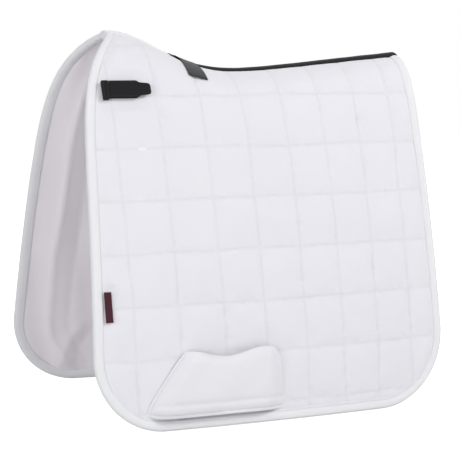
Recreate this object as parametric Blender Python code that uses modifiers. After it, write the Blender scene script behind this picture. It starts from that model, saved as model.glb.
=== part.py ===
"""Quilted saddle pad for a riding saddle, standing on its lower edges like a tent.

Metres, +Z up. The horse's head is towards -X, the near (left) panel is at -Y and the far panel at +Y.
The origin is on the floor, under the middle of the pad. Each panel is a sandwich of outer cotton, wadding
and lining, bound all round, and the two panels fold about the spine.
"""

from math import ceil, exp, floor, log, pi, sin, sqrt

import bmesh
import bpy
from mathutils import Matrix, Vector

NEAR, FAR = -1, 1

# The pad's profile, seen from the side
PAD_LENGTH = 0.556
SEAT_HEIGHT = 0.4834
REAR_SLOPE = 0.0965
WITHER_RISE = 0.079
WITHER_SPREAD = 0.113
WITHER_FROM_FRONT = 0.078
FRONT_CUTBACK = 0.062
FRONT_CUTBACK_DROP = 0.045
FRONT_LEAN = 0.05
REAR_LEAN = 0.030
FRONT_CORNER_RADIUS = 0.100
REAR_CORNER_RADIUS = 0.110

# The panels' spread, seen from the front: how far a panel stands out grows with the drop below an apex
APEX_ABOVE_SEAT = 0.1122
CREST_WIDTH = 0.0259
CREST_DROP = 0.0208
SPLAY_RATE = 0.5106
SPLAY_CURVE = 0.3453
REARWARD_TAPER = 0.1898
REARWARD_TAPER_CURVE = 0.0824
ARCH_DROP = 0.018
ARCH_SHARPNESS = 0.6

# The cloth layers and the gap that touching pieces keep
GAP = 0.0003
OUTER_THICKNESS = 0.0009
WADDING_THICKNESS = 0.0044
LINING_THICKNESS = 0.0009
OUTER_DEPTH = OUTER_THICKNESS
WADDING_DEPTH = OUTER_DEPTH + GAP + WADDING_THICKNESS
PANEL_DEPTH = WADDING_DEPTH + GAP + LINING_THICKNESS

# The bindings: the edge tape folds round a panel's rim, and the spine tapes bridge the two panels
FACE_CLEARANCE = 0.00088
TAPE_THICKNESS = 0.0012
EDGE_TAPE_WIDTH = 0.015
FLOOR_LIFT = 0.00098
SPINE_TAPE_HALF_WIDTH = 0.014
SPINE_TAPE_MARGIN = 0.06
SPLIT_SHARE = 0.249
SPLIT_GAP = 0.012
FOLD_GAP = 0.003
FOLD_GAP_PER_DROP = 0.15

# The woven patch across the spine, just behind the withers
LABEL_X = -0.080
LABEL_LENGTH = 0.028
LABEL_REACH = 2.25
LABEL_THICKNESS = 0.0006

# The saddle strap high on each panel
STRAP_X = -0.2185
STRAP_HEIGHT = 0.461
STRAP_LENGTH = 0.0605
STRAP_WIDTH = 0.026
STRAP_TIP_WIDTH = 0.014
STRAP_TAPER_LENGTH = 0.016
WEBBING_THICKNESS = 0.0014
GRIP_TAPE_THICKNESS = 0.0012
GRIP_TAPE_START = 0.012
GRIP_TAPE_LENGTH = 0.032
GRIP_TAPE_MARGIN = 0.003
ANCHOR_LENGTH = 0.0102
ANCHOR_WIDTH = 0.030
STRAP_CLEARANCE = 0.0006

# The woven tab beside the near panel's front binding
TAB_HEIGHT = 0.171
TAB_LENGTH = 0.042
TAB_WIDTH = 0.0105
TAB_THICKNESS = 0.0008
TAB_HINGE_CLEARANCE = 0.0002

# The girth keeper low on each panel: sewn at both ends, open above and below
KEEPER_FRONT_X = -0.207
KEEPER_SLANT = 0.061
KEEPER_SLANT_POWER = 1.6
KEEPER_REAR_X = 0.001
KEEPER_TOP = 0.102
KEEPER_CLEARANCE = 0.0016
KEEPER_THICKNESS = 0.0024
KEEPER_PASSAGE = 0.0105
KEEPER_RISE_SHARE = 0.16

# How finely the curved cloth is divided
COLUMNS = 14
SPLIT_COLUMN = 4
UPPER_ROWS = 13
CORNER_ROWS = 5
ROW_CROWDING = 1.8

FRONT_X = -PAD_LENGTH / 2
REAR_X = PAD_LENGTH / 2
WITHER_X = FRONT_X + WITHER_FROM_FRONT
RIM_INSET = TAPE_THICKNESS + GAP
CORNER_TOP = max(FRONT_CORNER_RADIUS, REAR_CORNER_RADIUS)


def ridge_height(x):
    """Height of the spine line at x: level behind, rising to the withers in front."""
    rise = WITHER_RISE * exp(-(((x - WITHER_X) / WITHER_SPREAD) ** 2))
    return SEAT_HEIGHT + REAR_SLOPE * x + rise


def flare(x, z):
    """How far a panel stands out at a point, before the arch over the spine rounds it in."""
    drop = SEAT_HEIGHT + APEX_ABOVE_SEAT - z
    along = x / (0.56 * PAD_LENGTH)
    splay = CREST_WIDTH * (1 - exp(-drop / CREST_DROP)) + SPLAY_RATE * drop - SPLAY_CURVE * drop**2
    return splay * (1 - REARWARD_TAPER * along - REARWARD_TAPER_CURVE * along**2)


def half_width(x, z):
    """Distance from the middle plane to a panel's outer face."""
    below = max(ridge_height(x) - z, 1e-9)
    return flare(x, z) * (1 - exp(-below / ARCH_DROP)) ** ARCH_SHARPNESS


def drop_at(x, y):
    """How far below the spine line the outer face is at a small distance y from the middle plane."""
    share = (y / flare(x, ridge_height(x))) ** (1 / ARCH_SHARPNESS)
    return -ARCH_DROP * log(1 - share)


def outward(side, x, z):
    """The outer face's normal."""
    step = 1e-4
    in_x = (half_width(x + step, z) - half_width(x - step, z)) / (2 * step)
    in_z = (half_width(x, z + step) - half_width(x, z - step)) / (2 * step)
    return Vector((-in_x, side, -in_z)).normalized()


def skin_point(side, x, z, depth=0.0):
    """A point of the cloth, this deep under the outer face."""
    return Vector((x, side * half_width(x, z), z)) - outward(side, x, z) * depth


# The fold's axis runs above the whole spine, through its highest points fore and aft
AXIS_FRONT = Vector((WITHER_X, 0, ridge_height(WITHER_X) + 0.004))
AXIS_REAR = Vector((REAR_X, 0, ridge_height(REAR_X) + 0.002))


def fold_gap(x):
    """Half the gap that the panels leave at the spine, so that they can fold together a little."""
    share = (x - AXIS_FRONT.x) / (AXIS_REAR.x - AXIS_FRONT.x)
    axis_height = AXIS_FRONT.z + share * (AXIS_REAR.z - AXIS_FRONT.z)
    return FOLD_GAP + FOLD_GAP_PER_DROP * (axis_height - ridge_height(x))


def front_edge(z, inset):
    """The outline's front, cut back towards the withers and rounded into the lower edge."""
    drop = ridge_height(WITHER_X) - max(z, FRONT_CORNER_RADIUS)
    cutback = FRONT_CUTBACK * exp(-drop / FRONT_CUTBACK_DROP)
    lean = FRONT_LEAN * (max(z, FRONT_CORNER_RADIUS) - FRONT_CORNER_RADIUS)
    straight = FRONT_X + cutback + lean
    return straight + corner_inset(z, inset, FRONT_CORNER_RADIUS)


def rear_edge(z, inset):
    """The outline's rear, nearly upright and rounded into the lower edge."""
    lean = REAR_LEAN * (max(z, REAR_CORNER_RADIUS) - REAR_CORNER_RADIUS)
    return REAR_X - lean - corner_inset(z, inset, REAR_CORNER_RADIUS)


def corner_inset(z, inset, radius):
    """How far a point of the outline lies inside its straight edge."""
    if z >= radius:
        return inset
    rise = min(radius - z, radius - inset)
    return radius - sqrt((radius - inset) ** 2 - rise**2)


def lower_edge(x, inset):
    """Height of the outline's lower edge at x, this far inside it."""
    into_corner = max(0, FRONT_X + FRONT_CORNER_RADIUS - x)
    return FRONT_CORNER_RADIUS - sqrt((FRONT_CORNER_RADIUS - inset) ** 2 - into_corner**2)


def column_x(column, z, inset):
    """Where a lattice column crosses height z: one along each rim tape, the rest between them."""
    front = front_edge(z, inset)
    rear = rear_edge(z, inset)
    if column == 0:
        return front
    if column == COLUMNS:
        return rear
    front += EDGE_TAPE_WIDTH - inset
    rear -= EDGE_TAPE_WIDTH - inset
    if column <= SPLIT_COLUMN:
        share = SPLIT_SHARE * (column - 1) / (SPLIT_COLUMN - 1)
    else:
        share = SPLIT_SHARE + (1 - SPLIT_SHARE) * (column - SPLIT_COLUMN) / (COLUMNS - 1 - SPLIT_COLUMN)
    return front + share * (rear - front)


def row_point(row, find_x):
    """Where a lattice row crosses a column, whose x at each height find_x gives.

    Row 0 runs beside the spine, row 1 along the spine tape's edge, and the last rows beside the rounded
    corners are level. The spine line isn't level, so a point's height and its x are found together.
    """
    if row > UPPER_ROWS:
        z = RIM_INSET + (CORNER_TOP - RIM_INSET) * (1 - sin((row - UPPER_ROWS) / CORNER_ROWS * pi / 2))
        return find_x(z), z
    x = WITHER_X
    for _ in range(12):
        top = ridge_height(x) - drop_at(x, SPINE_TAPE_HALF_WIDTH + FACE_CLEARANCE)
        share = max(0, (row - 1) / (UPPER_ROWS - 1)) ** ROW_CROWDING
        z = CORNER_TOP + (top - CORNER_TOP) * (1 - share)
        if row == 0:
            z = ridge_height(x) - drop_at(x, fold_gap(x))
        x = find_x(z)
    return x, z


def cloth_point(side, column, row, depth):
    """A lattice point of a panel, this deep under its outer face."""
    x, z = row_point(row, lambda height: column_x(column, height, RIM_INSET))
    return skin_point(side, x, z, depth) + Vector((0, 0, FLOOR_LIFT))


def new_material(name, colour, roughness=0.9):
    material = bpy.data.materials.new(name)
    material.use_nodes = True
    shader = material.node_tree.nodes["Principled BSDF"]
    shader.inputs["Base Color"].default_value = (*colour, 1)
    shader.inputs["Roughness"].default_value = roughness
    shader.inputs["Metallic"].default_value = 0
    return material


def new_empty(name, location, parent=None):
    empty = bpy.data.objects.new(name, None)
    collection.objects.link(empty)
    empty.location = location
    hang(empty, parent)
    return empty


def hang(obj, parent):
    """Parents an object without moving it."""
    if parent:
        bpy.context.view_layer.update()
        obj.parent = parent
        obj.matrix_parent_inverse = parent.matrix_world.inverted()


def new_sheet(name, columns, rows, place, thickness, material, parent, flip):
    """Curved cloth: a grid laid on the points that place(column, row) gives, thickened outwards."""
    mesh = bpy.data.meshes.new(name)
    grid = bmesh.new()
    bmesh.ops.create_grid(grid, x_segments=columns, y_segments=rows, size=1)
    for vertex in grid.verts:
        column = round((vertex.co.x + 1) / 2 * columns)
        row = round((vertex.co.y + 1) / 2 * rows)
        vertex.co = place(column, row)
    if flip:
        bmesh.ops.reverse_faces(grid, faces=grid.faces)
    grid.to_mesh(mesh)
    grid.free()
    mesh.materials.append(material)
    sheet = bpy.data.objects.new(name, mesh)
    collection.objects.link(sheet)
    solidify = sheet.modifiers.new("thickness", "SOLIDIFY")
    solidify.thickness = thickness
    solidify.offset = 1
    solidify.use_even_offset = True
    hang(sheet, parent)
    return sheet


def new_flat_piece(name, outline, thickness, frame, lift, material, parent):
    """Webbing or tape cut to an outline and laid flat, its lower face lift above the frame's plane."""
    data = bpy.data.curves.new(name, "CURVE")
    data.dimensions = "2D"
    data.fill_mode = "BOTH"
    data.extrude = thickness / 2
    spline = data.splines.new("POLY")
    spline.points.add(len(outline) - 1)
    for point, (along, across) in zip(spline.points, outline):
        point.co = (along, across, 0, 1)
    spline.use_cyclic_u = True
    data.materials.append(material)
    piece = bpy.data.objects.new(name, data)
    collection.objects.link(piece)
    piece.matrix_world = frame @ Matrix.Translation((0, 0, lift + thickness / 2))
    hang(piece, parent)
    return piece


def laid_frame(side, x, z):
    """A frame on the outer face: its X rearwards along the cloth, its Z outwards."""
    normal = outward(side, x, z)
    rearward = (Vector((1, 0, 0)) - normal * normal.x).normalized()
    upward = normal.cross(rearward)
    axes = Matrix((rearward, upward, normal)).transposed().to_4x4()
    return Matrix.Translation(skin_point(side, x, z)) @ axes


def rectangle(start, end, width):
    return [(start, -width / 2), (end, -width / 2), (end, width / 2), (start, width / 2)]


def add_panel(side, prefix, parent):
    """The three layers of one panel, laid on each other from the lining outwards."""
    layers = (
        ("lining", PANEL_DEPTH, LINING_THICKNESS, LINING),
        ("wadding", WADDING_DEPTH, WADDING_THICKNESS, WADDING),
        ("outer_shell", OUTER_DEPTH, OUTER_THICKNESS, OUTER_COTTON),
    )
    rows = UPPER_ROWS + CORNER_ROWS
    for name, depth, thickness, material in layers:

        def place(column, row, depth=depth):
            return cloth_point(side, column, row, depth)

        new_sheet(f"{prefix}_{name}", COLUMNS, rows, place, thickness, material, parent, side == NEAR)


def rim_point(step, inset):
    """A point of the outline from the spine down the front, along the lower edge and up the rear."""
    front_end = UPPER_ROWS - 1
    lower_start = front_end + CORNER_ROWS
    lower_end = lower_start + COLUMNS
    rear_start = lower_end + CORNER_ROWS
    if lower_start <= step <= lower_end:
        start = front_edge(inset, inset)
        share = (step - lower_start) / COLUMNS
        return start + share * (rear_edge(inset, inset) - start), inset
    edge = front_edge if step < lower_start else rear_edge
    down = step if step < lower_start else front_end + CORNER_ROWS + lower_end - step
    if down <= front_end:
        return row_point(down + 1, lambda height: edge(height, inset))
    z = inset + (CORNER_TOP - inset) * (1 - sin((down - front_end) / CORNER_ROWS * pi / 2))
    return edge(z, inset), z


def add_edge_binding(side, prefix, parent):
    """The tape folded round the panel's rim, from the spine in front round to the spine behind."""
    folds = (
        (EDGE_TAPE_WIDTH, -FACE_CLEARANCE),
        (TAPE_THICKNESS, -FACE_CLEARANCE),
        (TAPE_THICKNESS, PANEL_DEPTH + FACE_CLEARANCE),
        (EDGE_TAPE_WIDTH, PANEL_DEPTH + FACE_CLEARANCE),
    )

    def place(column, row):
        inset, depth = folds[row]
        x, z = rim_point(column, inset)
        return skin_point(side, x, z, depth) + Vector((0, 0, FLOOR_LIFT))

    steps = 2 * (UPPER_ROWS - 1) + 2 * CORNER_ROWS + COLUMNS
    new_sheet(f"{prefix}_edge_binding", steps, 3, place, TAPE_THICKNESS, EDGE_TAPE, parent, side == NEAR)


def spine_point(column, across, depth):
    """A point of the cloth over the spine: across counts lattice rows down from the middle, near side first.

    Both numbers may fall between lattice lines, which keeps a tape flat on the facets under it.
    """
    side = NEAR if across < 0 else FAR
    ends = []
    for line in (floor(column), ceil(column)):
        rows = [cloth_point(side, line, row, depth) for row in (0, 1, 2)]
        middle = Vector((rows[0].x, 0, rows[0].z))
        stops = [middle] + rows
        step = min(int(abs(across)), 2)
        ends.append(stops[step].lerp(stops[step + 1], abs(across) - step))
    return ends[0].lerp(ends[1], column - floor(column))


def add_spine_tape(name, start, end, steps, reach, depth, thickness, material, parent):
    """Tape over the spine between two lattice columns, reaching this many rows down either side."""
    lines = [-reach, *range(-ceil(reach) + 1, ceil(reach)), reach]

    def place(column, row):
        return spine_point(start + (end - start) * column / steps, lines[row], depth)

    return new_sheet(name, steps, len(lines) - 1, place, thickness, material, parent, False)


def add_spine(parent):
    """The white tape over the withers, the black tape behind it, the tape inside and the woven patch."""
    above = -FACE_CLEARANCE
    below = PANEL_DEPTH + FACE_CLEARANCE + TAPE_THICKNESS
    reach = 2 - SPINE_TAPE_MARGIN
    split = SPLIT_COLUMN
    rear_steps = COLUMNS - split
    add_spine_tape("wither_binding", 0, split, split, reach, above, TAPE_THICKNESS, EDGE_TAPE, parent)
    add_spine_tape(
        "spine_binding", split + SPLIT_GAP, COLUMNS, rear_steps, reach, above, TAPE_THICKNESS, SPINE_TAPE, parent
    )
    add_spine_tape("spine_tape", 1, COLUMNS - 1, COLUMNS - 2, reach, below, TAPE_THICKNESS, LINING, parent)
    here = cloth_point(NEAR, split, 0, 0).x
    following = cloth_point(NEAR, split + 1, 0, 0).x
    start = split + (LABEL_X - LABEL_LENGTH / 2 - here) / (following - here)
    end = split + (LABEL_X + LABEL_LENGTH / 2 - here) / (following - here)
    lift = above - TAPE_THICKNESS - FACE_CLEARANCE
    add_spine_tape("spine_label", start, end, 1, LABEL_REACH, lift, LABEL_THICKNESS, PATCH, parent)


def add_strap(side, prefix, parent):
    """The saddle strap: a sewn base, and a flap that grips it and opens about its front end."""
    frame = Matrix.Translation((0, 0, FLOOR_LIFT)) @ laid_frame(side, STRAP_X, STRAP_HEIGHT)
    base_lift = STRAP_CLEARANCE
    loop_lift = base_lift + WEBBING_THICKNESS + GAP
    hook_lift = loop_lift + GRIP_TAPE_THICKNESS + GAP
    flap_lift = hook_lift + GRIP_TAPE_THICKNESS + GAP
    flap_top = flap_lift + WEBBING_THICKNESS
    hinge = new_empty(f"{prefix}_strap_axis", frame @ Vector((0, 0, flap_top)), parent)
    strap = [
        (0, -STRAP_WIDTH / 2),
        (STRAP_LENGTH - STRAP_TAPER_LENGTH, -STRAP_WIDTH / 2),
        (STRAP_LENGTH, -STRAP_TIP_WIDTH / 2),
        (STRAP_LENGTH, STRAP_TIP_WIDTH / 2),
        (STRAP_LENGTH - STRAP_TAPER_LENGTH, STRAP_WIDTH / 2),
        (0, STRAP_WIDTH / 2),
    ]
    grip = rectangle(GRIP_TAPE_START, GRIP_TAPE_START + GRIP_TAPE_LENGTH, STRAP_WIDTH - 2 * GRIP_TAPE_MARGIN)
    base = rectangle(0, STRAP_LENGTH - STRAP_TAPER_LENGTH, STRAP_WIDTH)
    anchor = rectangle(-GAP - ANCHOR_LENGTH, -GAP, ANCHOR_WIDTH)
    anchor_thickness = flap_top - GAP - base_lift
    new_flat_piece(f"{prefix}_strap_anchor", anchor, anchor_thickness, frame, base_lift, WEBBING, parent)
    new_flat_piece(f"{prefix}_strap_base", base, WEBBING_THICKNESS, frame, base_lift, WEBBING, parent)
    new_flat_piece(f"{prefix}_strap_loop_tape", grip, GRIP_TAPE_THICKNESS, frame, loop_lift, GRIP_TAPE, parent)
    new_flat_piece(f"{prefix}_strap_hook_tape", grip, GRIP_TAPE_THICKNESS, frame, hook_lift, GRIP_TAPE, hinge)
    new_flat_piece(f"{prefix}_strap_flap", strap, WEBBING_THICKNESS, frame, flap_lift, WEBBING, hinge)


def add_edge_tab(parent):
    """The small woven tab sewn in along the near panel's front binding, free to lift at its rear edge."""
    x = front_edge(TAB_HEIGHT, EDGE_TAPE_WIDTH) + TAPE_THICKNESS
    frame = Matrix.Translation((0, 0, FLOOR_LIFT)) @ laid_frame(NEAR, x, TAB_HEIGHT)
    binding_top = FACE_CLEARANCE + TAPE_THICKNESS
    axis_lift = binding_top + TAB_HINGE_CLEARANCE
    hinge = new_empty("edge_tab_axis", frame @ Vector((0, 0, axis_lift)), parent)
    tab = rectangle(0, TAB_WIDTH, TAB_LENGTH)
    new_flat_piece("edge_tab", tab, TAB_THICKNESS, frame, axis_lift - TAB_THICKNESS, TAB_CLOTH, hinge)


def add_girth_keeper(side, prefix, parent):
    """The padded keeper that the girth runs down through, low on the panel."""
    columns, rows = 14, 4

    def place(column, row):
        along = column / columns
        up = row / rows
        front = KEEPER_FRONT_X + KEEPER_SLANT * up**KEEPER_SLANT_POWER
        x = front + (KEEPER_REAR_X - front) * along
        bottom = lower_edge(x, EDGE_TAPE_WIDTH + KEEPER_CLEARANCE)
        z = bottom + (KEEPER_TOP - bottom) * up
        rise = min(1, along / KEEPER_RISE_SHARE, (1 - along) / KEEPER_RISE_SHARE)
        lift = STRAP_CLEARANCE + KEEPER_PASSAGE * sin(rise * pi / 2)
        return skin_point(side, x, z, -lift) + Vector((0, 0, FLOOR_LIFT))

    new_sheet(f"{prefix}_girth_keeper", columns, rows, place, KEEPER_THICKNESS, OUTER_COTTON, parent, side == FAR)


def add_side(side, prefix, parent):
    add_panel(side, prefix, parent)
    add_edge_binding(side, prefix, parent)
    add_strap(side, prefix, parent)
    add_girth_keeper(side, prefix, parent)


for old in list(bpy.data.objects):
    bpy.data.objects.remove(old, do_unlink=True)
collection = bpy.data.collections.new("saddle_pad")
bpy.context.scene.collection.children.link(collection)

OUTER_COTTON = new_material("outer_cotton", (0.82, 0.81, 0.85))
LINING = new_material("lining", (0.62, 0.58, 0.63))
WADDING = new_material("wadding", (0.85, 0.85, 0.84))
EDGE_TAPE = new_material("edge_tape", (0.86, 0.86, 0.86), 0.7)
SPINE_TAPE = new_material("spine_tape", (0.025, 0.024, 0.027), 0.7)
WEBBING = new_material("webbing", (0.022, 0.021, 0.024), 0.65)
GRIP_TAPE = new_material("grip_tape", (0.02, 0.02, 0.022), 0.85)
PATCH = new_material("woven_patch", (0.035, 0.034, 0.037), 0.6)
TAB_CLOTH = new_material("woven_tab", (0.05, 0.011, 0.024), 0.6)

near_side = new_empty("near_side", (0, 0, 0))
far_side = new_empty("spine_fold_axis", AXIS_FRONT, near_side)
add_side(NEAR, "near", near_side)
add_side(FAR, "far", far_side)
add_spine(near_side)
add_edge_tab(near_side)
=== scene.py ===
from math import pi

import bmesh
import bpy
import numpy as np
from mathutils import Matrix, Vector, noise


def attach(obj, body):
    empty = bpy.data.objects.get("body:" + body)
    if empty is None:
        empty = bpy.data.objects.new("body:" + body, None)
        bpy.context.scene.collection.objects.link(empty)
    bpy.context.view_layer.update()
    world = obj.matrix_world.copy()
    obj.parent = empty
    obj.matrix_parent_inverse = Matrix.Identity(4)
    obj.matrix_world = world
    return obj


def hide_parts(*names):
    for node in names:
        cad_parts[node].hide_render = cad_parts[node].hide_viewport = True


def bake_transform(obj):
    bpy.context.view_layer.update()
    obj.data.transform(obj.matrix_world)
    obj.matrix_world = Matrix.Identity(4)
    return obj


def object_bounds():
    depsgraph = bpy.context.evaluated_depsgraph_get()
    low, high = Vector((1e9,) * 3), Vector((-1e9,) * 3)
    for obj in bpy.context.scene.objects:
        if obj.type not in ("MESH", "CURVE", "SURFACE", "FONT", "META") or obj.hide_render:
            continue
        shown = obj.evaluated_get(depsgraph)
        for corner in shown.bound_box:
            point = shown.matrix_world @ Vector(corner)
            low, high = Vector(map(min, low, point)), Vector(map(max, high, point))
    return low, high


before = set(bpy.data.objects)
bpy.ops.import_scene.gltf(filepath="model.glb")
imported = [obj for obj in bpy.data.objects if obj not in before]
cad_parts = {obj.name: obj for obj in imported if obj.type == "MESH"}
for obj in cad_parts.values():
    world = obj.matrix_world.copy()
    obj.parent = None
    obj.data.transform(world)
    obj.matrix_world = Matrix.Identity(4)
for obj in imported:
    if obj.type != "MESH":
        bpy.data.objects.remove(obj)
cad_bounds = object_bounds()

# ---------------------------------------------------------------------------------------------------------
# Camera and studio. A long lens a little above the pad's spine looks at its near side from the front
# quarter. The floor and the world are white where the camera sees them, and light the pad plainly.
# ---------------------------------------------------------------------------------------------------------
scene = bpy.context.scene
scene.view_settings.view_transform = "Standard"

camera_data = bpy.data.cameras.new("camera")
camera_data.lens = 154.75
camera_data.clip_end = 30
camera = bpy.data.objects.new("camera", camera_data)
scene.collection.objects.link(camera)
camera.location = (-1.0469, -2.7382, 0.5519)
CAMERA_TARGET = Vector((-0.0004, 0.0, 0.2496))
camera.rotation_euler = (CAMERA_TARGET - camera.location).to_track_quat("-Z", "Y").to_euler()
scene.camera = camera
LIGHT_LEVEL = 0.772


def add_lamp(name, place, size, power, aim=(0, 0, 0.25), tint=(1, 1, 1)):
    data = bpy.data.lights.new(name, "AREA")
    data.shape = "SQUARE"
    data.size = size
    data.energy = LIGHT_LEVEL * power
    data.color = tint
    lamp = bpy.data.objects.new(name, data)
    scene.collection.objects.link(lamp)
    lamp.location = place
    lamp.rotation_euler = (Vector(aim) - lamp.location).to_track_quat("-Z", "Y").to_euler()
    return lamp


add_lamp("key_lamp", (1.9, -1.8, 2.2), 1.1, 58)
add_lamp("fill_lamp", (-1.9, -2.4, 1.0), 1.8, 31)
add_lamp("top_lamp", (-0.2, 0.5, 2.6), 1.4, 9)
add_lamp("inside_lamp", (-1.7, -1.0, 0.4), 0.9, 5, aim=(-0.15, 0.15, 0.25))
add_lamp("back_lamp", (0.8, 2.8, 1.8), 1.8, 26)


def white_to_camera(material_tree, shader, output):
    """Shows plain white where the camera, a reflection or clear stuff sees it, and the shader elsewhere."""
    nodes, links = material_tree.nodes, material_tree.links
    path = nodes.new("ShaderNodeLightPath")
    either = nodes.new("ShaderNodeMath")
    either.operation = "MAXIMUM"
    links.new(path.outputs["Is Camera Ray"], either.inputs[0])
    links.new(path.outputs["Is Glossy Ray"], either.inputs[1])
    white = nodes.new("ShaderNodeBackground")
    white.inputs["Color"].default_value = (1, 1, 1, 1)
    mix = nodes.new("ShaderNodeMixShader")
    links.new(either.outputs[0], mix.inputs[0])
    links.new(shader, mix.inputs[1])
    links.new(white.outputs[0], mix.inputs[2])
    links.new(mix.outputs[0], output)


world = bpy.data.worlds.new("studio_air")
scene.world = world
world.use_nodes = True
air = world.node_tree.nodes["Background"]
air.inputs["Color"].default_value = (0.97, 0.98, 1.0, 1)
air.inputs["Strength"].default_value = LIGHT_LEVEL * 0.5
white_to_camera(world.node_tree, air.outputs[0], world.node_tree.nodes["World Output"].inputs["Surface"])

floor_mesh = bpy.data.meshes.new("floor")
floor_shape = bmesh.new()
bmesh.ops.create_grid(floor_shape, x_segments=2, y_segments=2, size=6)
floor_shape.to_mesh(floor_mesh)
floor_shape.free()
floor = bpy.data.objects.new("floor", floor_mesh)
scene.collection.objects.link(floor)
floor.location.z = cad_bounds[0][2] - 0.0005
floor_material = bpy.data.materials.new("white floor")
floor_material.use_nodes = True
floor_nodes = floor_material.node_tree.nodes
floor_nodes["Principled BSDF"].inputs["Base Color"].default_value = (0.7, 0.7, 0.7, 1)
floor_nodes["Principled BSDF"].inputs["Roughness"].default_value = 0.9
FLOOR_GLOW = 0.85
floor_nodes["Principled BSDF"].inputs["Emission Color"].default_value = (1, 1, 1, 1)
floor_path = floor_nodes.new("ShaderNodeLightPath")
floor_glow = floor_nodes.new("ShaderNodeMath")
floor_glow.operation = "MULTIPLY"
floor_glow.inputs[1].default_value = FLOOR_GLOW
floor_material.node_tree.links.new(floor_path.outputs["Is Camera Ray"], floor_glow.inputs[0])
floor_material.node_tree.links.new(
    floor_glow.outputs[0], floor_nodes["Principled BSDF"].inputs["Emission Strength"]
)
floor.data.materials.append(floor_material)

# ---------------------------------------------------------------------------------------------------------
# The panels. Each side is a sandwich of white cotton, wadding and a soft lining, quilted through in
# upright and level rows, so the cloth puffs between the stitched lines. They meet at the spine.
# ---------------------------------------------------------------------------------------------------------
NEAR, FAR = -1, 1
PAD_LENGTH = 0.556
SEAT_HEIGHT = 0.4834
REAR_SLOPE = 0.0965
WITHER_RISE, WITHER_SPREAD, WITHER_X = 0.079, 0.113, -0.200
APEX_ABOVE_SEAT = 0.1122
CREST_WIDTH, CREST_DROP = 0.0259, 0.0208
SPLAY_RATE, SPLAY_CURVE = 0.5106, 0.3453
TAPER_REACH, TAPER_RATE, TAPER_CURVE = 0.56 * PAD_LENGTH, 0.1898, 0.0824
FRONT_X, REAR_X = -PAD_LENGTH / 2, PAD_LENGTH / 2
FRONT_CUTBACK, FRONT_CUTBACK_DROP = 0.062, 0.045
FRONT_LEAN, REAR_LEAN = 0.050, 0.030
FRONT_RADIUS, REAR_RADIUS = 0.100, 0.110
FLOOR_LIFT = 0.00098
ARCH_DROP, ARCH_POWER = 0.018, 0.6
PANEL_DEPTH = 0.0068


def ridge_height(x):
    """Height of the spine line, level behind and rising to the withers in front."""
    return SEAT_HEIGHT + REAR_SLOPE * x + WITHER_RISE * np.exp(-(((x - WITHER_X) / WITHER_SPREAD) ** 2))


def flare(x, z):
    """How far out a panel would hang at this height if the spine were a sharp fold."""
    drop = SEAT_HEIGHT + APEX_ABOVE_SEAT - z
    along = x / TAPER_REACH
    splay = CREST_WIDTH * (1 - np.exp(-drop / CREST_DROP)) + SPLAY_RATE * drop - SPLAY_CURVE * drop**2
    return splay * (1 - TAPER_RATE * along - TAPER_CURVE * along**2)


def half_width(x, z):
    """Distance from the middle plane to a panel's outer face, rounded over the spine."""
    below = np.maximum(ridge_height(x) - z, 1e-9)
    return flare(x, z) * (1 - np.exp(-below / ARCH_DROP)) ** ARCH_POWER


def outward(side, x, z):
    """The outer face's normals, as rows of x, y, z."""
    step = 2e-4
    in_x = (half_width(x + step, z) - half_width(x - step, z)) / (2 * step)
    in_z = (half_width(x, z + step) - half_width(x, z - step)) / (2 * step)
    in_z = np.maximum(in_z, -60)
    normal = np.stack([-in_x, np.full_like(x, float(side)), -in_z], axis=-1)
    return normal / np.linalg.norm(normal, axis=-1, keepdims=True)


def skin(side, x, z, lift):
    """Points on the cloth, each lifted this far off the outer face."""
    x, z, lift = np.broadcast_arrays(np.asarray(x, float), np.asarray(z, float), np.asarray(lift, float))
    point = np.stack([x, side * half_width(x, z), z + FLOOR_LIFT], axis=-1)
    return point + outward(side, x, z) * lift[..., None]


def corner_inset(z, inset, radius):
    rise = np.clip(radius - z, 0, radius - inset)
    return radius - np.sqrt((radius - inset) ** 2 - rise**2)


def front_edge(z, inset):
    level = np.maximum(z, FRONT_RADIUS)
    drop = ridge_height(WITHER_X) - level
    cutback = FRONT_CUTBACK * np.exp(-drop / FRONT_CUTBACK_DROP)
    straight = FRONT_X + cutback + FRONT_LEAN * (level - FRONT_RADIUS)
    return straight + corner_inset(z, inset, FRONT_RADIUS)


def rear_edge(z, inset):
    straight = REAR_X - REAR_LEAN * (np.maximum(z, REAR_RADIUS) - REAR_RADIUS)
    return straight - corner_inset(z, inset, REAR_RADIUS)


def drop_at(x, y):
    """How far below the spine line the outer face is, this far out from the middle plane."""
    drop = 0 * (x + y)
    for _ in range(10):
        share = np.minimum(y / flare(x, ridge_height(x) - drop), 0.995)
        drop = -ARCH_DROP * np.log(1 - share ** (1 / ARCH_POWER))
    return drop


def spaced(count, start_ease, end_ease):
    """Shares from 0 to 1 that crowd towards both ends."""
    steps = np.arange(count) + 0.5
    gaps = np.minimum(1, np.minimum(0.05 + steps / start_ease, 0.02 + (count - steps) / end_ease))
    return np.concatenate([[0], np.cumsum(gaps) / gaps.sum()])


def panel_lattice(columns, rows, inset, start_y):
    """The cloth's lattice: x and z at each row from the spine down and each column from front to rear."""
    share = spaced(rows, 16, 26)[:, None]
    along = spaced(columns, 6, 6)[None, :]
    x = FRONT_X + along * PAD_LENGTH + 0 * share
    for _ in range(14):
        top = ridge_height(x) - drop_at(x, start_y)
        z = inset + (top - inset) * (1 - share)
        x = front_edge(z, inset) * (1 - along) + rear_edge(z, inset) * along
    return x, z


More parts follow.
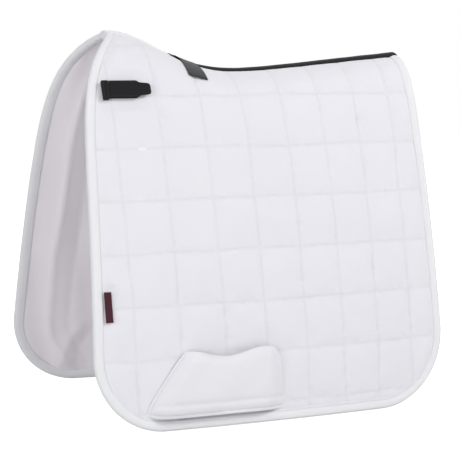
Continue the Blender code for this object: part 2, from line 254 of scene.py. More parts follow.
UPRIGHT_NUMBERS = np.arange(-2, 10)
LEVEL_NUMBERS = np.arange(-1, 9)
QUILT_LEVELS = 0.027 + 0.071 * LEVEL_NUMBERS
QUILT_UPRIGHTS = -0.217 + 0.0627 * UPRIGHT_NUMBERS + 0.012 * np.sin(pi * np.clip(UPRIGHT_NUMBERS, 0, 7) / 7)
QUILT_PITCH = 0.066
QUILT_PUFF = 0.0035
KEEPER_FRONT, KEEPER_REAR = -0.207, 0.001


def quilt_place(x, z):
    """Places on the quilting, counted in squares, so that each stitched line is a whole number."""
    return np.interp(x, QUILT_UPRIGHTS, UPRIGHT_NUMBERS), np.interp(z, QUILT_LEVELS, LEVEL_NUMBERS)


def fade(distance, width):
    share = np.clip(distance / width, 0, 1)
    return share * share * (3 - 2 * share)


def inside_box(x, z, low, high, margin):
    """1 inside a rectangle of the side view, fading to 0 over a margin round it."""
    away_x = np.maximum(np.maximum(low[0] - x, x - high[0]), 0)
    away_z = np.maximum(np.maximum(low[1] - z, z - high[1]), 0)
    return 1 - fade(np.hypot(away_x, away_z), margin)


def rim_distance(x, z):
    """Roughly how far inside the bound rim a point is."""
    low = np.minimum(x - front_edge(z, 0), rear_edge(z, 0) - x)
    return np.minimum(low, z)


def roughness_field(x, z, scale, seed):
    """A smooth random field between about -1 and 1."""
    flat = [noise.noise((a * scale, b * scale, seed)) for a, b in zip(x.ravel(), z.ravel())]
    return np.array(flat).reshape(x.shape)


def mesh_from_lattice(name, points, uv, closed_rows=False):
    """A mesh of quads over a lattice of points, with its UVs in metres. closed_rows joins the last row on."""
    rows, columns = points.shape[:2]
    row_count = rows if closed_rows else rows - 1
    index = np.arange(rows * columns).reshape(rows, columns)
    nexts = np.roll(index, -1, axis=0)
    a = index[:row_count, :-1]
    b = index[:row_count, 1:]
    c = nexts[:row_count, 1:]
    d = nexts[:row_count, :-1]
    faces = np.stack([a, b, c, d], axis=-1).reshape(-1, 4)
    mesh = bpy.data.meshes.new(name)
    mesh.from_pydata(points.reshape(-1, 3).tolist(), [], faces.tolist())
    layer = mesh.uv_layers.new(name="cloth")
    uv_rows = uv.reshape(-1, 2)
    corner = faces.reshape(-1)
    layer.data.foreach_set("uv", uv_rows[corner].reshape(-1))
    mesh.shade_smooth()
    return mesh


def new_piece(name, mesh, material):
    piece = bpy.data.objects.new(name, mesh)
    scene.collection.objects.link(piece)
    mesh.materials.append(material)
    return piece


def turn_outwards(mesh, flip):
    if flip:
        shape = bmesh.new()
        shape.from_mesh(mesh)
        bmesh.ops.reverse_faces(shape, faces=shape.faces)
        shape.to_mesh(mesh)
        shape.free()


def over_spine(piece):
    """Bakes the cloth's place into its mesh."""
    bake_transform(piece)


def new_group(name, inputs, outputs):
    group = bpy.data.node_groups.new(name, "ShaderNodeTree")
    for label, kind, value in inputs:
        socket = group.interface.new_socket(label, in_out="INPUT", socket_type=kind)
        if value is not None:
            socket.default_value = value
    for label, kind in outputs:
        group.interface.new_socket(label, in_out="OUTPUT", socket_type=kind)
    entry = group.nodes.new("NodeGroupInput")
    leaving = group.nodes.new("NodeGroupOutput")
    return group, entry, leaving


def math_node(tree, operation, first, second=None):
    node = tree.nodes.new("ShaderNodeMath")
    node.operation = operation
    for slot, value in ((0, first), (1, second)):
        if value is None:
            continue
        if isinstance(value, (int, float)):
            node.inputs[slot].default_value = value
        else:
            tree.links.new(value, node.inputs[slot])
    return node.outputs[0]


FLOAT, VECTOR = "NodeSocketFloat", "NodeSocketVector"


QUILT_STITCH_SHARE, GROOVE_REACH = 0.62, 0.004
ROW_STITCH_SHARE, ROW_THREAD, DIMPLE_REACH = 0.7, 0.00045, 0.0016


def build_weave_group():
    """Woven cloth: threads crossing at a pitch, with slubs and slow shade changes."""
    group, entry, leaving = new_group(
        "woven cloth",
        (
            ("Place", VECTOR, None),
            ("Across Pitch", FLOAT, 0.001),
            ("Along Pitch", FLOAT, 0.001),
            ("Slub", FLOAT, 0.3),
        ),
        (("Height", FLOAT), ("Shade", FLOAT)),
    )
    split = group.nodes.new("ShaderNodeSeparateXYZ")
    group.links.new(entry.outputs["Place"], split.inputs[0])
    across = math_node(group, "DIVIDE", split.outputs[0], entry.outputs["Across Pitch"])
    along = math_node(group, "DIVIDE", split.outputs[1], entry.outputs["Along Pitch"])
    warp_turn = math_node(group, "MULTIPLY", math_node(group, "ADD", across, along), 2 * pi)
    weft_turn = math_node(group, "MULTIPLY", math_node(group, "SUBTRACT", across, along), 2 * pi)
    warp = math_node(group, "SINE", warp_turn)
    weft = math_node(group, "SINE", weft_turn)
    threads = math_node(group, "MAXIMUM", warp, weft)
    slubs = group.nodes.new("ShaderNodeTexNoise")
    slubs.inputs["Scale"].default_value = 420
    slubs.inputs["Detail"].default_value = 3
    group.links.new(entry.outputs["Place"], slubs.inputs["Vector"])
    slow = group.nodes.new("ShaderNodeTexNoise")
    slow.inputs["Scale"].default_value = 11
    slow.inputs["Detail"].default_value = 4
    group.links.new(entry.outputs["Place"], slow.inputs["Vector"])
    uneven = math_node(group, "MULTIPLY", slubs.outputs["Fac"], entry.outputs["Slub"])
    height = math_node(group, "ADD", math_node(group, "MULTIPLY", threads, 0.5), uneven)
    group.links.new(height, leaving.inputs["Height"])
    blend_shade = math_node(group, "ADD", math_node(group, "MULTIPLY", slow.outputs["Fac"], 0.75),
                            math_node(group, "MULTIPLY", slubs.outputs["Fac"], 0.25))
    group.links.new(blend_shade, leaving.inputs["Shade"])
    return group


def build_seam_group():
    """Quilting: 1 on the stitched thread along lines one pitch apart both ways, and the groove round it."""
    group, entry, leaving = new_group(
        "quilting lines",
        (
            ("Place", VECTOR, None),
            ("Pitch", FLOAT, QUILT_PITCH),
            ("Stitch", FLOAT, 0.0036),
            ("Thread", FLOAT, 0.0006),
        ),
        (("Thread", FLOAT), ("Groove", FLOAT)),
    )
    split = group.nodes.new("ShaderNodeSeparateXYZ")
    group.links.new(entry.outputs["Place"], split.inputs[0])
    threads, grooves = [], []
    for first, other in ((0, 1), (1, 0)):
        squares = math_node(group, "DIVIDE", split.outputs[first], entry.outputs["Pitch"])
        nearest = math_node(group, "ROUND", squares)
        offset = math_node(group, "ABSOLUTE", math_node(group, "SUBTRACT", squares, nearest))
        distance = math_node(group, "MULTIPLY", offset, entry.outputs["Pitch"])
        on_line = math_node(group, "LESS_THAN", distance, entry.outputs["Thread"])
        stitches = math_node(group, "DIVIDE", split.outputs[other], entry.outputs["Stitch"])
        beat = math_node(group, "FRACT", stitches)
        sewn = math_node(group, "LESS_THAN", beat, QUILT_STITCH_SHARE)
        threads.append(math_node(group, "MULTIPLY", on_line, sewn))
        near_line = math_node(group, "SUBTRACT", 1.0, math_node(group, "DIVIDE", distance, GROOVE_REACH))
        grooves.append(math_node(group, "MAXIMUM", near_line, 0.0))
    group.links.new(math_node(group, "MAXIMUM", *threads), leaving.inputs["Thread"])
    group.links.new(math_node(group, "MAXIMUM", *grooves), leaving.inputs["Groove"])
    return group


def build_row_group():
    """One straight row of stitches: 1 on the thread, and the dimple that it pulls into the cloth."""
    group, entry, leaving = new_group(
        "sewn row",
        (("Across", FLOAT, 0.0), ("Along", FLOAT, 0.0), ("Row", FLOAT, 0.0), ("Stitch", FLOAT, 0.0034)),
        (("Thread", FLOAT), ("Dimple", FLOAT)),
    )
    offset = math_node(group, "SUBTRACT", entry.outputs["Across"], entry.outputs["Row"])
    distance = math_node(group, "ABSOLUTE", offset)
    on_line = math_node(group, "LESS_THAN", distance, ROW_THREAD)
    stitches = math_node(group, "DIVIDE", entry.outputs["Along"], entry.outputs["Stitch"])
    beat = math_node(group, "FRACT", stitches)
    sewn = math_node(group, "LESS_THAN", beat, ROW_STITCH_SHARE)
    group.links.new(math_node(group, "MULTIPLY", on_line, sewn), leaving.inputs["Thread"])
    near_line = math_node(group, "SUBTRACT", 1.0, math_node(group, "DIVIDE", distance, DIMPLE_REACH))
    group.links.new(math_node(group, "MAXIMUM", near_line, 0.0), leaving.inputs["Dimple"])
    return group


WEAVE = build_weave_group()
SEAMS = build_seam_group()
SEWN_ROW = build_row_group()


def mixed_colour(tree, mask, first, second):
    mix = tree.nodes.new("ShaderNodeMix")
    mix.data_type = "RGBA"
    for slot, value in ((6, first), (7, second)):
        if isinstance(value, tuple):
            mix.inputs[slot].default_value = (*value, 1)
        else:
            tree.links.new(value, mix.inputs[slot])
    tree.links.new(mask, mix.inputs[0])
    return mix.outputs[2]


def add_sewn_row(tree, place, row, upright, colour, height, thread_colour):
    """Adds one row of stitches to a cloth's colour and height, level or upright on its flat pattern."""
    split = tree.nodes.new("ShaderNodeSeparateXYZ")
    tree.links.new(place, split.inputs[0])
    sewn = tree.nodes.new("ShaderNodeGroup")
    sewn.node_tree = SEWN_ROW
    sewn.inputs["Row"].default_value = row
    across, along = (0, 1) if upright else (1, 0)
    tree.links.new(split.outputs[across], sewn.inputs["Across"])
    tree.links.new(split.outputs[along], sewn.inputs["Along"])
    colour = mixed_colour(tree, math_node(tree, "MULTIPLY", sewn.outputs["Thread"], 0.8), colour, thread_colour)
    raised = math_node(tree, "MULTIPLY", sewn.outputs["Thread"], 0.0003)
    sunk = math_node(tree, "MULTIPLY", sewn.outputs["Dimple"], -0.0005)
    return colour, math_node(tree, "ADD", height, math_node(tree, "ADD", raised, sunk))


def cloth_material(
    name, light, dark, pitch, bump, roughness=0.92, sheen=0.25, quilted=False, slub=0.35,
    level_rows=(), upright_rows=(), thread_colour=(0.8, 0.8, 0.82), by_object=False,
):
    """Woven cloth: two shades that drift into each other, thread relief, and any sewn rows or quilting, the
    quilting with painted shade in its grooves.
    """
    material = bpy.data.materials.new(name)
    material.use_nodes = True
    tree = material.node_tree
    shader = tree.nodes["Principled BSDF"]
    shader.inputs["Roughness"].default_value = roughness
    shader.inputs["Sheen Weight"].default_value = sheen
    shader.inputs["Sheen Roughness"].default_value = 0.55
    shader.inputs["Specular IOR Level"].default_value = 0.25
    if by_object:
        place = tree.nodes.new("ShaderNodeTexCoord").outputs["Object"]
    else:
        uv_map = tree.nodes.new("ShaderNodeUVMap")
        uv_map.uv_map = "cloth"
        place = uv_map.outputs[0]
    weave = tree.nodes.new("ShaderNodeGroup")
    weave.node_tree = WEAVE
    weave.inputs["Across Pitch"].default_value = pitch
    weave.inputs["Along Pitch"].default_value = pitch
    weave.inputs["Slub"].default_value = slub
    tree.links.new(place, weave.inputs["Place"])
    colour = mixed_colour(tree, weave.outputs["Shade"], dark, light)
    height = math_node(tree, "MULTIPLY", weave.outputs["Height"], bump)
    if quilted:
        seams = tree.nodes.new("ShaderNodeGroup")
        seams.node_tree = SEAMS
        tree.links.new(place, seams.inputs["Place"])
        # Painted shade: near each stitched line of the quilting the colour darkens towards 0.72 of the dark
        # shade, standing in for the shade in the grooves.
        painted_groove_shade = math_node(tree, "MULTIPLY", seams.outputs["Groove"], 0.08)
        colour = mixed_colour(tree, painted_groove_shade, colour, tuple(0.72 * value for value in dark))
        thread = math_node(tree, "MULTIPLY", seams.outputs["Thread"], 0.00035)
        groove = math_node(tree, "MULTIPLY", seams.outputs["Groove"], -0.0004)
        height = math_node(tree, "ADD", height, math_node(tree, "ADD", thread, groove))
    for rows, upright in ((level_rows, False), (upright_rows, True)):
        for row in rows:
            colour, height = add_sewn_row(tree, place, row, upright, colour, height, thread_colour)
    tree.links.new(colour, shader.inputs["Base Color"])
    relief = tree.nodes.new("ShaderNodeBump")
    relief.inputs["Strength"].default_value = 0.8
    relief.inputs["Distance"].default_value = 1.0
    tree.links.new(height, relief.inputs["Height"])
    tree.links.new(relief.outputs[0], shader.inputs["Normal"])
    return material


WHITE_COTTON = cloth_material(
    "quilted white cotton", (0.84, 0.835, 0.875), (0.80, 0.79, 0.835), 0.0011, 0.00006, quilted=True
)
SOFT_LINING = cloth_material(
    "soft lilac lining", (0.945, 0.908, 0.945), (0.87, 0.84, 0.88), 0.0014, 0.00008
)
LINING_CREASES = ((0.054, 0.0080), (0.088, -0.0036), (0.135, 0.0050), (0.235, 0.0042), (0.330, 0.0046))
LINING_DIAGONALS = ((0.035, 0.0046), (0.060, -0.0034), (0.090, 0.0040))
PANEL_COLUMNS, PANEL_ROWS = 200, 200
LINING_COLUMNS, LINING_ROWS = 120, 130
RIM_INSET = 0.0022
STRAP_LOW, STRAP_HIGH = (-0.232, 0.444), (-0.156, 0.479)
TAB_LOW, TAB_HIGH = (-0.262, 0.148), (-0.244, 0.195)
KEEPER_CALM_LOW, KEEPER_CALM_HIGH = (KEEPER_FRONT, 0.01), (KEEPER_REAR + 0.004, 0.095)


SPINE_START = 0.0009
WANDER, WANDER_SCALE = 0.0022, 17
PUFF_POWER, PUFF_UNEVENNESS, PUFF_SCALE = 0.5, 0.22, 21
PUCKER, PUCKER_REACH, PUCKER_SCALE = 0.0013, 0.008, 95
RUMPLE, RUMPLE_SCALE = 0.0008, 50
PINCH, PINCH_REACH, PINCH_SCALE, PINCH_FLOOR = 0.0024, 0.005, 150, 0.12
BILLOW, BILLOW_SCALE = 0.0014, 9
SETTLE, RIM_SETTLE, RIM_SETTLE_WIDTH = 0.0012, 0.0012, 0.024
STRAP_LIFT = 0.0011
KEEPER_CALM = 0.75


def quilt_dome(square_x, square_z):
    """1 in the middle of each quilted square and 0 along its stitched lines."""
    return np.abs(np.sin(pi * square_x)) * np.abs(np.sin(pi * square_z))


def seam_distance(square_x, square_z):
    across = np.abs(square_x - np.round(square_x)) * QUILT_PITCH
    down = np.abs(square_z - np.round(square_z)) * QUILT_PITCH
    return np.minimum(across, down)


def quilt_relief(side, x, z, square_x, square_z):
    """The puff of each square, and the puckers and pinches that the stitches pull in beside it."""
    uneven = 1 + PUFF_UNEVENNESS * roughness_field(x, z, PUFF_SCALE, side * 3.1)
    puff = QUILT_PUFF * quilt_dome(square_x, square_z) ** PUFF_POWER * uneven
    away = seam_distance(square_x, square_z)
    pucker = PUCKER * np.exp(-away / PUCKER_REACH) * roughness_field(x, z, PUCKER_SCALE, side * 7.7)
    pucker = pucker + RUMPLE * roughness_field(x, z, RUMPLE_SCALE, side * 5.1)
    pinch = np.maximum(roughness_field(x, z, PINCH_SCALE, side * 11.3) - PINCH_FLOOR, 0)
    return puff + (pucker - PINCH * np.exp(-away / PINCH_REACH) * pinch)


def calm_places(x, z):
    """0 where the cloth lies flat, at the rim and under the strap and tab, and 1 where it puffs freely."""
    calm = fade(rim_distance(x, z) - 0.006, 0.022)
    calm = calm * (1 - inside_box(x, z, STRAP_LOW, STRAP_HIGH, 0.012))
    calm = calm * (1 - inside_box(x, z, TAB_LOW, TAB_HIGH, 0.008))
    return calm * (1 - KEEPER_CALM * inside_box(x, z, KEEPER_CALM_LOW, KEEPER_CALM_HIGH, 0.012))


def add_outer_cloth(side, prefix):
    x, z = panel_lattice(PANEL_COLUMNS, PANEL_ROWS, RIM_INSET, SPINE_START)
    wander_x = WANDER * roughness_field(x, z, WANDER_SCALE, side * 4.4)
    wander_z = WANDER * roughness_field(x, z, WANDER_SCALE, side * 6.6)
    square_x, square_z = quilt_place(x + wander_x, z + wander_z)
    beside_spine = fade(half_width(x, z) - 0.010, 0.03)
    calm = calm_places(x, z) * beside_spine
    billow = BILLOW * roughness_field(x, z, BILLOW_SCALE, side * 1.3) * beside_spine * fade(z, 0.05)
    sunk_rim = -RIM_SETTLE * (1 - fade(rim_distance(x, z), RIM_SETTLE_WIDTH))
    under_strap = STRAP_LIFT * inside_box(x, z, STRAP_LOW, STRAP_HIGH, 0.008)
    relief = quilt_relief(side, x, z, square_x, square_z) + billow
    points = skin(side, x, z, sunk_rim - SETTLE + under_strap + relief * calm)
    uv = np.stack([square_x * QUILT_PITCH, square_z * QUILT_PITCH], axis=-1)
    mesh = mesh_from_lattice(f"{prefix}_outer_cloth", points, uv)
    turn_outwards(mesh, side == FAR)
    piece = new_piece(f"{prefix}_outer_cloth", mesh, WHITE_COTTON)
    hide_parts(f"{prefix}_outer_shell", f"{prefix}_wadding")
    over_spine(piece)


def add_lining(side, prefix):
    x, z = panel_lattice(LINING_COLUMNS, LINING_ROWS, RIM_INSET, SPINE_START)
    square_x, square_z = quilt_place(x, z)
    dome = quilt_dome(square_x, square_z)
    calm = fade(rim_distance(x, z) - 0.004, 0.03) * fade(half_width(x, z) - 0.012, 0.03)
    folds = 0.0034 * np.sin(2 * pi * (x + 0.12 * z) / 0.105 + 2.2 * roughness_field(x, z, 6, 4.2 + side))
    folds = folds + 0.0016 * roughness_field(x, z, 16, 9.9 + side)
    depth = PANEL_DEPTH - 0.0019 * (1 - fade(rim_distance(x, z), 0.022)) - 0.0004
    wander = 0.008 * roughness_field(x, z, 8, 2.1 + side)
    ahead = x - front_edge(z, 0) + wander
    for offset, height in LINING_CREASES:
        folds = folds + height * np.exp(-np.abs(ahead - offset) / 0.010)
    for start, height in LINING_DIAGONALS:
        slanting = (z - 0.02) - 0.95 * (ahead - start)
        folds = folds + height * np.exp(-np.abs(slanting) / 0.007) * (1 - fade(z - 0.06, 0.06))
    depth = depth + calm * (0.0006 * dome**0.5 + folds)
    points = skin(side, x, z, -depth)
    points[..., 1] = np.where(side * points[..., 1] < SPINE_START, side * SPINE_START, points[..., 1])
    uv = np.stack([square_x * QUILT_PITCH, square_z * QUILT_PITCH], axis=-1)
    mesh = mesh_from_lattice(f"{prefix}_lining_cloth", points, uv)
    turn_outwards(mesh, side == NEAR)
    piece = new_piece(f"{prefix}_lining_cloth", mesh, SOFT_LINING)
    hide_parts(f"{prefix}_lining")
    over_spine(piece)


for pad_side, pad_prefix in ((NEAR, "near"), (FAR, "far")):
    add_outer_cloth(pad_side, pad_prefix)
    add_lining(pad_side, pad_prefix)

# ---------------------------------------------------------------------------------------------------------
# Edge binding. A pale tape is folded over each panel's rim and sewn through both its legs, all the way
# from the withers round the front, the bottom and the rear up to the spine again.
# ---------------------------------------------------------------------------------------------------------
TAPE_PROFILE = (
    (0.0150, -0.0022), (0.0149, -0.0011), (0.0144, -0.0004), (0.0128, -0.0005), (0.0105, 0.0004),
    (0.0070, 0.0009), (0.0035, 0.0008), (0.0012, 0.0000), (0.0001, -0.0022), (0.0001, -0.0046),
    (0.0012, -0.0068), (0.0035, -0.0080), (0.0070, -0.0083), (0.0105, -0.0080), (0.0128, -0.0073),
    (0.0144, -0.0074), (0.0149, -0.0066), (0.0150, -0.0052),
)
RIM_START = 0.012
UPRIGHT_STEPS, CORNER_STEPS, BOTTOM_STEPS = 120, 44, 90
TAPE_SEAM = 0.0032
EDGE_TAPE = cloth_material(
    "pale edge tape", (0.865, 0.865, 0.885), (0.83, 0.83, 0.85), 0.0008, 0.00005,
    level_rows=(TAPE_SEAM,), thread_colour=(0.78, 0.78, 0.81),
)


def rim_top(edge, inset):
    """The height at which an upright edge runs in under the spine's tape."""
    z = SEAT_HEIGHT
    for _ in range(14):
        x = edge(z, inset)
        z = ridge_height(x) - drop_at(x, RIM_START)
    return z


def rim_row(inset):
    """The line round the rim in the side view, this far inside it, from the withers to the rear top."""
    front_middle = front_edge(FRONT_RADIUS, 0) + FRONT_RADIUS
    rear_middle = rear_edge(REAR_RADIUS, 0) - REAR_RADIUS
    front_turn, rear_turn = FRONT_RADIUS - inset, REAR_RADIUS - inset
    turn = np.linspace(0, pi / 2, CORNER_STEPS)[1:]
    down = np.linspace(rim_top(front_edge, inset), FRONT_RADIUS, UPRIGHT_STEPS)
    up = np.linspace(REAR_RADIUS, rim_top(rear_edge, inset), UPRIGHT_STEPS)[1:]
    along = np.linspace(front_middle, rear_middle, BOTTOM_STEPS)[1:]
    x = (front_edge(down, inset), front_middle - front_turn * np.cos(turn), along,
         rear_middle + rear_turn * np.sin(turn), rear_edge(up, inset))
    z = (down, FRONT_RADIUS - front_turn * np.sin(turn), np.full_like(along, inset),
         REAR_RADIUS - rear_turn * np.cos(turn), up)
    return np.concatenate(x), np.concatenate(z)


def running_length(points, axis):
    steps = np.linalg.norm(np.diff(points, axis=axis), axis=-1)
    start = np.zeros_like(np.take(steps, [0], axis=axis))
    return np.cumsum(np.concatenate([start, steps], axis=axis), axis=axis)


def add_edge_tape(side, prefix):
    rows = [rim_row(inset) for inset, _ in TAPE_PROFILE]
    x = np.array([row[0] for row in rows])
    z = np.array([row[1] for row in rows])
    uneven = 0.0004 * roughness_field(x, z, 60, side * 2.9)
    lift = np.array([lift for _, lift in TAPE_PROFILE])[:, None] + uneven
    points = skin(side, x, z, lift)
    along = np.broadcast_to(running_length(points, 1)[7], x.shape)
    uv = np.stack([along, running_length(points, 0)], axis=-1)
    mesh = mesh_from_lattice(f"{prefix}_edge_tape", points, uv)
    turn_outwards(mesh, side == FAR)
    piece = new_piece(f"{prefix}_edge_tape", mesh, EDGE_TAPE)
    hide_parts(f"{prefix}_edge_binding")
    over_spine(piece)


for pad_side, pad_prefix in ((NEAR, "near"), (FAR, "far")):
    add_edge_tape(pad_side, pad_prefix)

# ---------------------------------------------------------------------------------------------------------
# Spine. The seam between the panels is bound in white over the withers and in black behind them, with a
# small bare woven label folded over the front of the black, and a tape on the inside.
# ---------------------------------------------------------------------------------------------------------
SPLIT_X = -0.0985
TAPE_TUCK = 0.0010
FRONT_HOOK = ((0.0016, 0.0008), (0.0012, 0.0022), (0.0006, 0.0034), (0.0002, 0.0040))
BLACK_TAPE = cloth_material(
    "black spine tape", (0.014, 0.0135, 0.015), (0.007, 0.007, 0.0075), 0.0009, 0.00008, sheen=0.03,
)
WITHER_TAPE = cloth_material(
    "pale wither tape", (0.885, 0.885, 0.905), (0.85, 0.85, 0.87), 0.0008, 0.00005,
)
BARE_LABEL = cloth_material(
    "bare woven label", (0.042, 0.044, 0.048), (0.020, 0.021, 0.023), 0.0006, 0.00006, sheen=0.2,
)
INNER_TAPE = cloth_material(
    "pale inner tape", (0.80, 0.80, 0.82), (0.76, 0.76, 0.78), 0.0008, 0.00005, by_object=True,
)


def over_ridge(x, y, lift):
    """Points over the spine, y out from its middle, lifted square to the cloth."""
    def height(a, b):
        return ridge_height(a) - drop_at(a, np.maximum(np.abs(b), 1e-5))

    step = 2e-4
    in_x = (height(x + step, y) - height(x - step, y)) / (2 * step)
    in_y = (height(x, y + step) - height(x, y - step)) / (2 * step)
    normal = np.stack([-in_x, -in_y, np.ones_like(in_x)], axis=-1)
    normal = normal / np.linalg.norm(normal, axis=-1, keepdims=True)
    return np.stack([x, y, height(x, y) + FLOOR_LIFT], axis=-1) + normal * lift[..., None]


def add_ridge_tape(name, node, start, end, half, lift, thickness, material, hook=(),
                   front_hook=(), near_reach=None):
    """A tape folded over the spine, its edges pressed down.

    Each hook lists how far on and how far down an end of the tape carries on, step by step.
    """
    count = int((end - start) / 0.003) + 2
    along = np.linspace(start, end, count)
    across = half * np.sin(np.linspace(-pi / 2, pi / 2, 25))
    if near_reach:
        across = np.linspace(-near_reach, half, 25)
    y = np.concatenate([across, across[::-1]])[:, None] + 0 * along
    x = along + 0 * y
    wave = 0.0003 * roughness_field(x, y * 0 + 1, 45, half * 90)
    pressed = np.abs(across / half) ** 4 if near_reach is None else 0 * across
    outside = lift - (lift + TAPE_TUCK) * np.clip(pressed, 0, 1)
    lifts = np.concatenate([outside, outside[::-1] - thickness])[:, None] + wave
    points = over_ridge(x, y, lifts)
    for forward, down in front_hook:
        first = points[:, :1, :] * 1
        first[..., 0] -= forward
        first[..., 2] -= down
        points = np.concatenate([first, points], axis=1)
    for back, down in hook:
        last = points[:, -1:, :] * 1
        last[..., 0] += back
        last[..., 2] -= down
        points = np.concatenate([points, last], axis=1)
    uv = np.stack([running_length(points, 1), running_length(points, 0)], axis=-1)
    mesh = mesh_from_lattice(name, points, uv, closed_rows=True)
    piece = new_piece(name, mesh, material)
    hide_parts(node)
    over_spine(piece)


add_ridge_tape(
    "wither_tape", "wither_binding", -0.1950, SPLIT_X + 0.002, 0.0150, 0.0016, 0.0012, WITHER_TAPE,
    front_hook=FRONT_HOOK,
)
REAR_HOOK = ((0.0014, 0.0006), (0.0010, 0.0022), (0.0004, 0.0036), (0.0001, 0.0042))
add_ridge_tape(
    "spine_tape_cloth", "spine_binding", SPLIT_X, 0.2640, 0.0168, 0.0028, 0.0014,
    BLACK_TAPE, hook=REAR_HOOK,
)
add_ridge_tape(
    "spine_label_cloth", "spine_label", -0.0916, -0.0628, 0.0205, 0.0034, 0.0006, BARE_LABEL,
    near_reach=0.072,
)
inner_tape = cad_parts["spine_tape"]
inner_tape.data.materials.clear()
inner_tape.data.materials.append(INNER_TAPE)

# ---------------------------------------------------------------------------------------------------------
# Saddle straps. Black webbing is folded and sewn down at its front end; its flap grips the sewn base with
# hook-and-loop tape and opens about the sewn end. One on each side.
# ---------------------------------------------------------------------------------------------------------
WEBBING = cloth_material(
    "black webbing", (0.0125, 0.0112, 0.0128), (0.006, 0.0055, 0.0062), 0.0016, 0.00022, sheen=0.04,
    level_rows=(0.0108, -0.0108), thread_colour=(0.03, 0.03, 0.032),
)
ANCHOR_CLOTH = cloth_material(
    "sewn webbing end", (0.0110, 0.0100, 0.0113), (0.0055, 0.0050, 0.0058), 0.0016, 0.00022, sheen=0.04,
    upright_rows=(-0.0088, -0.0022), thread_colour=(0.035, 0.035, 0.038),
)
GRIP_TAPE = cloth_material(
    "grip tape", (0.020, 0.020, 0.022), (0.010, 0.010, 0.011), 0.0012, 0.00035, sheen=0.35, slub=1.4
)
BASE_LOW, BASE_HIGH = 0.0006, 0.0020
LOOP_LOW, LOOP_HIGH = 0.0023, 0.0035
HOOK_LOW, HOOK_HIGH = 0.0038, 0.0050
FLAP_LOW, FLAP_HIGH = 0.0053, 0.0067
BASE_LENGTH, BASE_SHOWN, BASE_HALF = 0.0445, 0.0405, 0.0122
FLAP_EDGE = (
    (0, 0.0130), (0.0400, 0.0130), (0.0452, 0.0098), (0.0565, 0.0088), (0.0595, 0.0074), (0.0605, 0.0050),
)
GRIP_START, GRIP_END, GRIP_HALF = 0.012, 0.044, 0.010
ANCHOR_START, ANCHOR_END, ANCHOR_LOW, ANCHOR_HIGH = -0.0105, -0.0003, 0.0150, 0.0136


def plate_axes(node):
    """A flat piece of the frame: its middle, and its axes from the longest to the thinnest."""
    corners = np.array([tuple(vertex.co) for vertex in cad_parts[node].data.vertices])
    corners = np.unique(np.round(corners, 5), axis=0)
    middle = corners.mean(axis=0)
    _, _, axes = np.linalg.svd(corners - middle)
    return middle, axes


def facing(axis, towards):
    return axis if np.dot(axis, towards) > 0 else -axis


def plate_place(middle, along, up, out):
    place = Matrix.Identity(4)
    for slot, column in enumerate((along, up, out, middle)):
        place.col[slot][:3] = tuple(column)
    return place


def add_slab(name, outline, low, high, place, material, rounding):
    """A flat piece with rounded edges, its UVs in metres on its own outline."""
    shape = bmesh.new()
    base = shape.faces.new([shape.verts.new((a, b, low)) for a, b in outline])
    raised = bmesh.ops.extrude_face_region(shape, geom=[base])["geom"]
    raised = [item for item in raised if isinstance(item, bmesh.types.BMVert)]
    bmesh.ops.translate(shape, verts=raised, vec=(0, 0, high - low))
    bmesh.ops.bevel(shape, geom=shape.edges[:], offset=rounding, segments=3, profile=0.6, affect="EDGES")
    layer = shape.loops.layers.uv.new("cloth")
    for face in shape.faces:
        for loop in face.loops:
            loop[layer].uv = loop.vert.co.xy
    bmesh.ops.transform(shape, matrix=place, verts=shape.verts)
    bmesh.ops.recalc_face_normals(shape, faces=shape.faces)
    mesh = bpy.data.meshes.new(name)
    shape.to_mesh(mesh)
    shape.free()
    return new_piece(name, mesh, material)


def box_outline(start, end, half):
    return ((start, -half), (end, -half), (end, half), (start, half))


def finish_slab(piece, node, body):
    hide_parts(node)
    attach(piece, body)


def add_strap(side, prefix):
    middle, axes = plate_axes(f"{prefix}_strap_base")
    along = facing(axes[0], (1, 0, 0))
    up = facing(axes[1], (0, 0, 1))
    out = facing(axes[2], (0, side, 0))
    start = middle - along * BASE_LENGTH / 2 - out * (BASE_LOW + BASE_HIGH) / 2
    place = plate_place(start, along, up, out)
    lower = tuple((along_strap, -half) for along_strap, half in FLAP_EDGE)
    upper = tuple((along_strap, half) for along_strap, half in reversed(FLAP_EDGE))
    flap = lower + upper
    anchor = (
        (ANCHOR_START, -ANCHOR_LOW), (ANCHOR_END - 0.0026, -ANCHOR_LOW), (ANCHOR_END, -ANCHOR_LOW + 0.0026),
        (ANCHOR_END, ANCHOR_HIGH - 0.0006), (ANCHOR_END - 0.0010, ANCHOR_HIGH), (ANCHOR_START, ANCHOR_HIGH),
    )
    base = box_outline(0, BASE_SHOWN, BASE_HALF)
    grip = box_outline(GRIP_START, GRIP_END, GRIP_HALF)
    fixed, moving = f"{prefix}_side", f"{prefix}_strap"
    strap = (
        ("anchor", anchor, BASE_LOW, FLAP_HIGH, ANCHOR_CLOTH, 0.0009, fixed, "webbing"),
        ("base", base, BASE_LOW, BASE_HIGH, WEBBING, 0.0004, fixed, "webbing"),
        ("loop_tape", grip, LOOP_LOW, LOOP_HIGH, GRIP_TAPE, 0.0003, fixed, "grip_tape"),
        ("hook_tape", grip, HOOK_LOW, HOOK_HIGH, GRIP_TAPE, 0.0003, moving, "grip_tape"),
        ("flap", flap, FLAP_LOW, FLAP_HIGH, WEBBING, 0.0005, moving, "webbing"),
    )
    for name, outline, low, high, material, rounding, body, slot in strap:
        piece = add_slab(f"{prefix}_{name}_webbing", outline, low, high, place, material, rounding)
        finish_slab(piece, f"{prefix}_strap_{name}", body)


for pad_side, pad_prefix in ((NEAR, "near"), (FAR, "far")):
    add_strap(pad_side, pad_prefix)

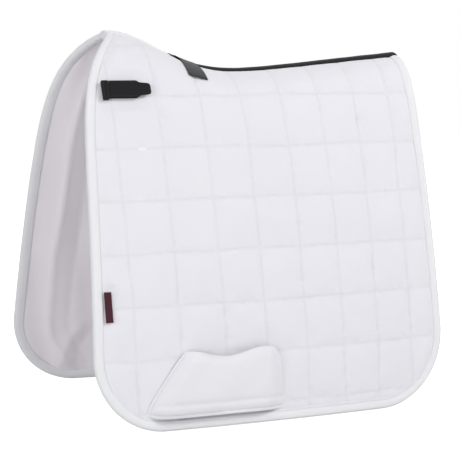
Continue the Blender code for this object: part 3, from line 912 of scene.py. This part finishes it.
# ---------------------------------------------------------------------------------------------------------
# Edge tab. A narrow maroon woven tab, left bare, is caught in the seam of the near panel's front binding
# by its front edge and can lift off the cloth.
# ---------------------------------------------------------------------------------------------------------
TAB_CLOTH = cloth_material(
    "maroon woven tab", (0.075, 0.014, 0.026), (0.048, 0.009, 0.018), 0.0006, 0.00007, sheen=0.2,
)
TAB_HALF_LENGTH, TAB_HALF_WIDTH, TAB_HALF_DEPTH = 0.021, 0.00525, 0.0004
tab_middle, tab_axes = plate_axes("edge_tab")
tab_place = plate_place(
    tab_middle,
    facing(tab_axes[1], (1, 0, 0)),
    facing(tab_axes[0], (0, 0, 1)),
    facing(tab_axes[2], (0, NEAR, 0)),
)
tab_outline = tuple(
    (a * TAB_HALF_WIDTH, b * TAB_HALF_LENGTH) for a, b in ((-1, -1), (1, -1), (1, 1), (-1, 1))
)
tab_piece = add_slab(
    "edge_tab_cloth", tab_outline, -TAB_HALF_DEPTH, TAB_HALF_DEPTH, tab_place, TAB_CLOTH, 0.00025
)
finish_slab(tab_piece, "edge_tab", "tab")

# ---------------------------------------------------------------------------------------------------------
# Girth keepers. Low on each panel a smooth padded patch with a slanted front and a waved top is sewn down
# at its two ends, so that it stands off the panel and a girth strap can pass behind it.
# ---------------------------------------------------------------------------------------------------------
PLAIN_COTTON = cloth_material(
    "plain white cotton", (0.85, 0.845, 0.88), (0.81, 0.80, 0.84), 0.0011, 0.00006,
    level_rows=(0.0045,), upright_rows=(0.005,), thread_colour=(0.76, 0.745, 0.775),
)
KEEPER_COLUMNS, KEEPER_ROWS = 110, 46
KEEPER_BOTTOM_INSET = 0.0176
KEEPER_SLANT, KEEPER_SLANT_POWER = 0.061, 1.6
KEEPER_STAND, KEEPER_RISE = 0.0105, 0.16
KEEPER_REST, KEEPER_PADDING = 0.0007, 0.0016
KEEPER_WAVE, KEEPER_WAVE_LENGTH, KEEPER_WAVE_START = 0.0045, 0.118, -0.146
KEEPER_MEAN_TOP = 0.1003


def keeper_top(x):
    wave = KEEPER_WAVE * np.cos(2 * pi * (x - KEEPER_WAVE_START) / KEEPER_WAVE_LENGTH)
    round_off = 0.011 * fade(x - (KEEPER_REAR - 0.016), 0.018)
    return KEEPER_MEAN_TOP + wave - round_off


def keeper_bottom(x):
    middle = front_edge(FRONT_RADIUS, 0) + FRONT_RADIUS
    ahead = np.clip(middle - x, 0, None)
    turn = FRONT_RADIUS - KEEPER_BOTTOM_INSET
    return FRONT_RADIUS - np.sqrt(turn**2 - ahead**2)


def add_keeper(side, prefix):
    share = np.linspace(0, 1, KEEPER_ROWS)[:, None]
    along = 0.5 - 0.5 * np.cos(pi * np.linspace(0, 1, KEEPER_COLUMNS))[None, :]
    front = KEEPER_FRONT + KEEPER_SLANT * share**KEEPER_SLANT_POWER
    x = front + (KEEPER_REAR - front) * along
    z = keeper_bottom(x) + (keeper_top(x) - keeper_bottom(x)) * share
    stand = KEEPER_STAND * fade(along / KEEPER_RISE, 1) * fade((1 - along) / KEEPER_RISE, 1)
    edge = np.minimum(np.minimum(along, 1 - along) * 0.2, np.minimum(share, 1 - share) * 0.085)
    pillow = 0.0030 * fade(edge, 0.014) - 0.0028 * (1 - share) ** 4
    crease = -0.0015 * np.exp(-(((z - 0.034) / 0.004) ** 2)) * fade(along, 0.1)
    rumple = 0.0026 * roughness_field(x, z, 24, side * 6.3) + 0.0004 * roughness_field(x, z, 80, side * 8.1)
    lift = KEEPER_REST + stand + pillow + crease + rumple * fade(edge, 0.006)
    points = skin(side, x, z, lift)
    uv = np.stack([x - front, z - keeper_bottom(x)], axis=-1)
    mesh = mesh_from_lattice(f"{prefix}_keeper_cloth", points, uv)
    turn_outwards(mesh, side == NEAR)
    piece = new_piece(f"{prefix}_keeper_cloth", mesh, PLAIN_COTTON)
    padding = piece.modifiers.new("padding", "SOLIDIFY")
    padding.thickness = KEEPER_PADDING
    padding.offset = -1
    soft_lip = piece.modifiers.new("soft lip", "BEVEL")
    soft_lip.width = 0.0007
    soft_lip.segments = 3
    soft_lip.limit_method = "ANGLE"
    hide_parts(f"{prefix}_girth_keeper")
    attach(piece, f"{prefix}_side")


for pad_side, pad_prefix in ((NEAR, "near"), (FAR, "far")):
    add_keeper(pad_side, pad_prefix)
